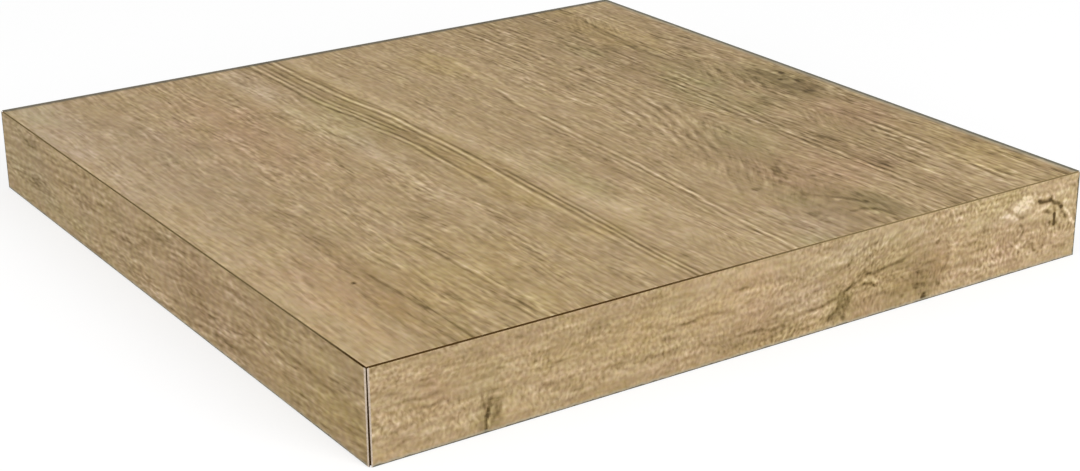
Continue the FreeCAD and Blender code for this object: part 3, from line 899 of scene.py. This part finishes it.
def tinted(colour, along, across, seed):
    """The colour with the hues of the mesh's soft zones and a slow drift of its own."""
    tree = along.tree
    pink = mesh_field(tree, "pink") + noise(along, across, PINK_DRIFT, seed)
    pink = pink + noise(along, across, PINK_SPECK, seed)
    yellow = mesh_field(tree, "yellow") + noise(along, across, YELLOW_DRIFT, seed)
    yellow = yellow + noise(along, across, YELLOW_SPECK, seed)
    half = pink * 0.5
    shares = tree.nodes.new("ShaderNodeCombineXYZ")
    for slot, share in zip(shares.inputs, (1 + half, 1 - half, 1 + half - yellow)):
        wire(share, slot)
    return mix(tree, 1.0, colour, shares.outputs[0], "MULTIPLY")


def edged(colour, along, across, face, seed):
    """The colour with the worn strip, and a thin dark rim of painted shade along a free edge."""
    tree = along.tree
    ragged = noise(along, across, RAGGED_EDGE, seed)
    beside = abs(across - face.free_edge)
    nearest = beside.math("MINIMUM", (SIDE - along) * END_SHARE)
    worn = (1 - ramp(beside + ragged, WORN_CORE * face.worn, face.worn)) * WORN_COVER
    # painted shade along the free edge
    dark = (1 - ramp(nearest + ragged, EDGE_SHADE_CORE * face.rim, face.rim)) * EDGE_SHADE_COVER
    return mix(tree, dark, mix(tree, worn, colour, WORN_COLOUR), EDGE_SHADE_COLOUR)


def new_material(name):
    """A node material with a plain shader: the material, its nodes and the shader."""
    material = bpy.data.materials.new(name)
    material.use_nodes = True
    tree = material.node_tree
    return material, tree, tree.nodes["Principled BSDF"]


def dress(shader, colour, roughness, gloss, height, bump):
    """Wire a shader's colour and roughness, and a height field for a bump of so many millimetres."""
    tree = height.tree
    node = tree.nodes.new("ShaderNodeBump")
    node.inputs["Strength"].default_value = 1.0
    node.inputs["Distance"].default_value = bump * MM
    wire(height, node.inputs["Height"])
    tree.links.new(node.outputs[0], shader.inputs["Normal"])
    tree.links.new(colour, shader.inputs["Base Color"])
    wire(roughness, shader.inputs["Roughness"])
    shader.inputs["Specular IOR Level"].default_value = gloss


def print_material(name):
    """The matt glaze over a tile's oak print."""
    material, tree, shader = new_material(name + "_print")
    face, design = FACES[name], PRINTS[name]
    seed = design.seed
    along, across = place_field(tree, face.along), place_field(tree, face.across)
    marks = mesh_field(tree, "marks") * (noise(along, across, BROKEN_MARK, seed) + MARK_LEVEL)
    tone = grain_tone(along, across, design) + marks + bundle_tone(along, across, design)
    colour = tinted(tone_colour(tone + design.brightness), along, across, seed)
    colour = edged(colour, along, across, face, seed)
    roughness = noise(along, across, GLAZE_CLOUD, seed) + 0.72
    fibres = noise(along, across, Noise(FIBRE_NUMBER, *design.grain.fibre), seed)
    dress(shader, colour, roughness, gloss=0.15, height=fibres, bump=0.03)
    return material


def body_material(name, pale, gloss):
    """Raw porcelain, as it shows on facets, sawn edges and the back, pale with darker specks."""
    material, tree, shader = new_material(name)
    specks = solid_noise(tree, grains=1400.0, detail=3.0)
    clouds = solid_noise(tree, grains=90.0)
    dark = tuple(SPECK_SHADE * level for level in pale[:3]) + (1.0,)
    level = ramp(specks * SPECK_WEIGHT + clouds * (1 - SPECK_WEIGHT), *SPECK_EDGE)
    colour = mix(tree, level, dark, pale)
    dress(shader, colour, roughness=specks * 0.2 + 0.65, gloss=gloss, height=specks, bump=0.05)
    return material


def epoxy_material():
    """Glue in the joints and on the mitred faces, dark at the corner and browner towards the far ends."""
    material, tree, shader = new_material("dark_epoxy")
    grain = solid_noise(tree, grains=300.0)
    far = ramp(place_field(tree, 0), *EPOXY_FADE_RIGHT) + ramp(place_field(tree, 1), *EPOXY_FADE_BACK)
    far = (far + (grain - 0.5) * EPOXY_FADE_NOISE).math("MAXIMUM", 0.0).math("MINIMUM", 1.0)
    colour = mix(tree, far, EPOXY_COLOUR, FAR_EPOXY_COLOUR)
    dress(shader, colour, roughness=grain * 0.3 + 0.65, gloss=0.03, height=grain, bump=0.08)
    return material


def relief(along, across, marks, design):
    """Depth of the pressed grain below a printed face, in millimetres."""
    length = PRESSED_FIBRE_LENGTH * design.grain.fibre[0]
    fibre = Noise(PRESSED_FIBRE_NUMBER, length, PRESSED_FIBRE_WIDTH)
    depth = PRESSED_FIBRE_DEPTH * (1 + lattice_noise(along, across, fibre, design.seed))
    depth = depth + PRESSED_WAVE_DEPTH * (1 + lattice_noise(along, across, PRESSED_WAVE, design.seed))
    depth = depth + PRESSED_MARK_DEPTH * np.clip(-marks, 0, DARKEST_MARK)
    rim_along = np.minimum(along - along.min(), along.max() - along)
    rim_across = np.minimum(across - across.min(), across.max() - across)
    return depth * ramp(np.minimum(rim_along, rim_across), 0, PRESSED_RIM)


def grid_places(start, end, step, fine=()):
    """Millimetres from start to end, about a step apart, and closer inside the fine stretches."""
    trial = np.linspace(start, end, GRID_TRIALS)
    density = np.full_like(trial, 1 / step)
    for low, high in fine:
        density[(trial > low) & (trial < high)] = 1 / FINE_STEP
    count = np.concatenate([[0], np.cumsum((density[1:] + density[:-1]) / 2 * np.diff(trial))])
    return np.interp(np.linspace(0, count[-1], math.ceil(count[-1]) + 1), count, trial)


Flat = namedtuple("Flat", "ring normal area level")


def flat_faces(name):
    """A tile's solid as corner places in millimetres from the foot corner, and its flat faces."""
    bm = bmesh.new()
    bm.from_mesh(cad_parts[name].data)
    bmesh.ops.remove_doubles(bm, verts=bm.verts, dist=SAME_PLACE)
    bmesh.ops.dissolve_limit(bm, angle_limit=SAME_PLANE, verts=bm.verts, edges=bm.edges)
    bm.verts.index_update()
    bm.normal_update()
    outward = FACES[name].outward
    places = np.array([(vert.co - FOOT_CORNER) / MM for vert in bm.verts])
    flats = [
        Flat(
            [vert.index for vert in polygon.verts],
            polygon.normal.copy(),
            polygon.calc_area() / MM**2,
            polygon.calc_center_median().dot(outward) * (polygon.normal.dot(outward) > FACING),
        )
        for polygon in bm.faces
    ]
    bm.free()
    return places, flats


def flat_look(flat):
    """The look of a face beside the printed one, by the way that it slants."""
    right, back, up = flat.normal
    if max(abs(right), abs(back), abs(up)) > SQUARE:
        return BODY_LOOK
    if flat.area > LEAST_MITRE_AREA or (up > SLANTING and min(right, back) < -SLANTING):
        return GLUE_LOOK
    if max(right, back) < -SLANTING:
        return BODY_LOOK
    # eased facets that face right or back, away from the light, get painted shade
    return SHADED_FACET_LOOK


def between(first, last, numbers):
    """The grid's vertices along its border, between two of its corners."""
    if first[0] == last[0]:
        line = numbers[first[0]]
        return list(line[1:-1] if first[1] < last[1] else line[-2:0:-1])
    line = numbers[:, first[1]]
    return list(line[1:-1] if first[0] < last[0] else line[-2:0:-1])


def stitched(ring, corner_at, renumbered, numbers):
    """A flat face's ring of vertices, with the grid's border let into the sides that they share."""
    whole = []
    for start, end in zip(ring, ring[1:] + ring[:1]):
        whole.append(renumbered[start])
        if start in corner_at and end in corner_at:
            whole.extend(between(corner_at[start], corner_at[end], numbers))
    return whole


def grid_quads(numbers, face):
    """The grid's quadrangles, turned so that they look outward."""
    rings = [numbers[:-1, :-1], numbers[:-1, 1:], numbers[1:, 1:], numbers[1:, :-1]]
    axes = [Vector((0, 0, 0)), Vector((0, 0, 0))]
    axes[0][face.across] = 1
    axes[1][face.along] = 1
    if axes[0].cross(axes[1]).dot(face.outward) < 0:
        rings.reverse()
    return np.stack(rings, axis=-1).reshape(-1, 4).tolist()


def printed_grid(corners, face, design):
    """Places along and across the grain of a printed face's grid, as arrays."""
    low, high = corners.min(0), corners.max(0)
    rows = grid_places(low[face.along], high[face.along], design.steps[0], design.fine)
    columns = grid_places(low[face.across], high[face.across], design.steps[1])
    return np.meshgrid(rows, columns, indexing="ij")


def grid_points(level, along, across, depth, face):
    """The grid's vertices, that deep below the level of its printed face."""
    points = np.tile(level, (along.size, 1))
    points[:, face.along] = along.ravel()
    points[:, face.across] = across.ravel()
    return points - depth.reshape(-1, 1) * np.array(face.outward)


def grid_corners(places, ring, numbers, face):
    """The rows and columns of the grid at which the corners of its printed face lie."""
    axes = [face.along, face.across]
    corners = places[ring][:, axes]
    middle = (corners.min(0) + corners.max(0)) / 2
    last = np.array(numbers.shape) - 1
    return {index: tuple(last * (places[index][axes] > middle)) for index in ring}


def tile(name):
    """The visible piece for a tile: its solid, with the printed face as a grid that carries the print."""
    face, design = FACES[name], PRINTS[name]
    places, flats = flat_faces(name)
    printed = max(flats, key=lambda flat: flat.level)
    along, across = printed_grid(places[printed.ring], face, design)
    marks = marks_tone(along, across, design)
    depth = relief(along, across, marks, design)
    points = grid_points(places[printed.ring[0]], along, across, depth, face)

    numbers = np.arange(along.size).reshape(along.shape)
    corner_at = grid_corners(places, printed.ring, numbers, face)
    others = [index for index in range(len(places)) if index not in corner_at]
    renumbered = {index: along.size + rank for rank, index in enumerate(others)}
    renumbered.update({index: numbers[place] for index, place in corner_at.items()})

    quads = grid_quads(numbers, face)
    rest = [flat for flat in flats if flat is not printed]
    rings = [stitched(flat.ring, corner_at, renumbered, numbers) for flat in rest]
    mesh = bpy.data.meshes.new(name + "_visual")
    points = np.concatenate([points, places[others]]) * MM + np.array(FOOT_CORNER)
    mesh.from_pydata(points.tolist(), [], quads + rings)
    looks = [PRINT_LOOK] * len(quads) + [flat_look(flat) for flat in rest]
    mesh.polygons.foreach_set("material_index", looks)
    mesh.polygons.foreach_set("use_smooth", [look == PRINT_LOOK for look in looks])
    for key, array in print_fields(along, across, marks, design).items():
        carry(mesh, key, array)
    for material in (print_material(name), BODY, EPOXY, SHADED_FACETS):
        mesh.materials.append(material)
    piece = linked(name + "_visual", mesh)
    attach(piece, "root")
    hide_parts(name)


def carry(mesh, key, array):
    """Store an array of the grid at its vertices, which are the mesh's first ones."""
    values = np.zeros(len(mesh.vertices), np.float32)
    values[:array.size] = array.ravel()
    mesh.attributes.new(key, "FLOAT", "POINT").data.foreach_set("value", values)


def linked(name, data):
    """A new object in the scene, with its data."""
    thing = bpy.data.objects.new(name, data)
    bpy.context.collection.objects.link(thing)
    return thing


def set_camera():
    """The camera at the photograph's view."""
    data = bpy.data.cameras.new("camera")
    data.sensor_width = SENSOR_WIDTH
    data.lens = LENS
    azimuth, elevation, roll = (math.radians(angle) for angle in (AZIMUTH, ELEVATION, ROLL))
    level = Vector((-math.sin(azimuth), math.cos(azimuth), 0.0))
    forward = level * math.cos(elevation) - Vector((0.0, 0.0, math.sin(elevation)))
    right = Vector((math.cos(azimuth), math.sin(azimuth), 0.0))
    down = forward.cross(right)
    rolled_right = right * math.cos(roll) + down * math.sin(roll)
    rolled_down = down * math.cos(roll) - right * math.sin(roll)
    turn = Matrix((rolled_right, -rolled_down, -forward)).transposed()
    camera = linked("camera", data)
    camera.matrix_world = Matrix.Translation(CAMERA_PLACE) @ turn.to_4x4()
    bpy.context.scene.camera = camera


def area_light(name, place, size, power):
    """A soft lamp at place that looks at the tread."""
    data = bpy.data.lights.new(name, "AREA")
    data.size = size
    data.energy = power
    lamp = linked(name, data)
    lamp.location = place
    lamp.rotation_mode = "QUATERNION"
    lamp.rotation_quaternion = (-Vector(place)).to_track_quat("-Z", "Y")


def light_path_white(tree):
    """1 for the rays that see the background: camera, glossy and transmission rays."""
    path = tree.nodes.new("ShaderNodeLightPath")
    rays = [Field(path.outputs[name]) for name in ("Is Camera Ray", "Is Glossy Ray", "Is Transmission Ray")]
    return rays[0].math("MAXIMUM", rays[1]).math("MAXIMUM", rays[2])


def set_world():
    """Even light from all round, with a white background."""
    world = bpy.data.worlds.new("studio")
    world.use_nodes = True
    bpy.context.scene.world = world
    tree = world.node_tree
    background = tree.nodes["Background"]
    background.inputs["Color"].default_value = WHITE
    wire(light_path_white(tree) * (1.0 - WORLD_LIGHT) + WORLD_LIGHT, background.inputs["Strength"])


def make_floor():
    """A wide pale floor that takes the tread's shadow."""
    material, tree, shader = new_material("floor")
    shader.inputs["Base Color"].default_value = FLOOR_COLOUR
    shader.inputs["Roughness"].default_value = 1.0
    shader.inputs["Specular IOR Level"].default_value = 0.0
    shader.inputs["Emission Color"].default_value = WHITE
    wire(light_path_white(tree) * FLOOR_GLOW, shader.inputs["Emission Strength"])
    mesh = bpy.data.meshes.new("floor")
    corners = [(FLOOR_REACH * x, FLOOR_REACH * y, 0) for x, y in ((-1, -1), (1, -1), (1, 1), (-1, 1))]
    mesh.from_pydata(corners, [], [(0, 1, 2, 3)])
    mesh.materials.append(material)
    floor = linked("floor", mesh)
    floor.location.z = FOOT_CORNER.z - FLOOR_DROP


BODY = body_material("porcelain_body", BODY_COLOUR, gloss=0.25)
# painted shade: eased facets that face away from the light take the dark edge colour
SHADED_FACETS = body_material("shaded_edge_facet", EDGE_SHADE_COLOUR, gloss=0.0)
EPOXY = epoxy_material()
for tile_name in FACES:
    tile(tile_name)
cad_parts["joint_epoxy"].data.materials.clear()
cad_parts["joint_epoxy"].data.materials.append(EPOXY)
set_camera()
set_world()
area_light("key", place=(0.45, -2.25, 1.05), size=1.2, power=40.5)
area_light("fill", place=(-2.4, -0.4, 0.8), size=1.4, power=24.0)
make_floor()
bpy.context.scene.view_settings.view_transform = "Standard"
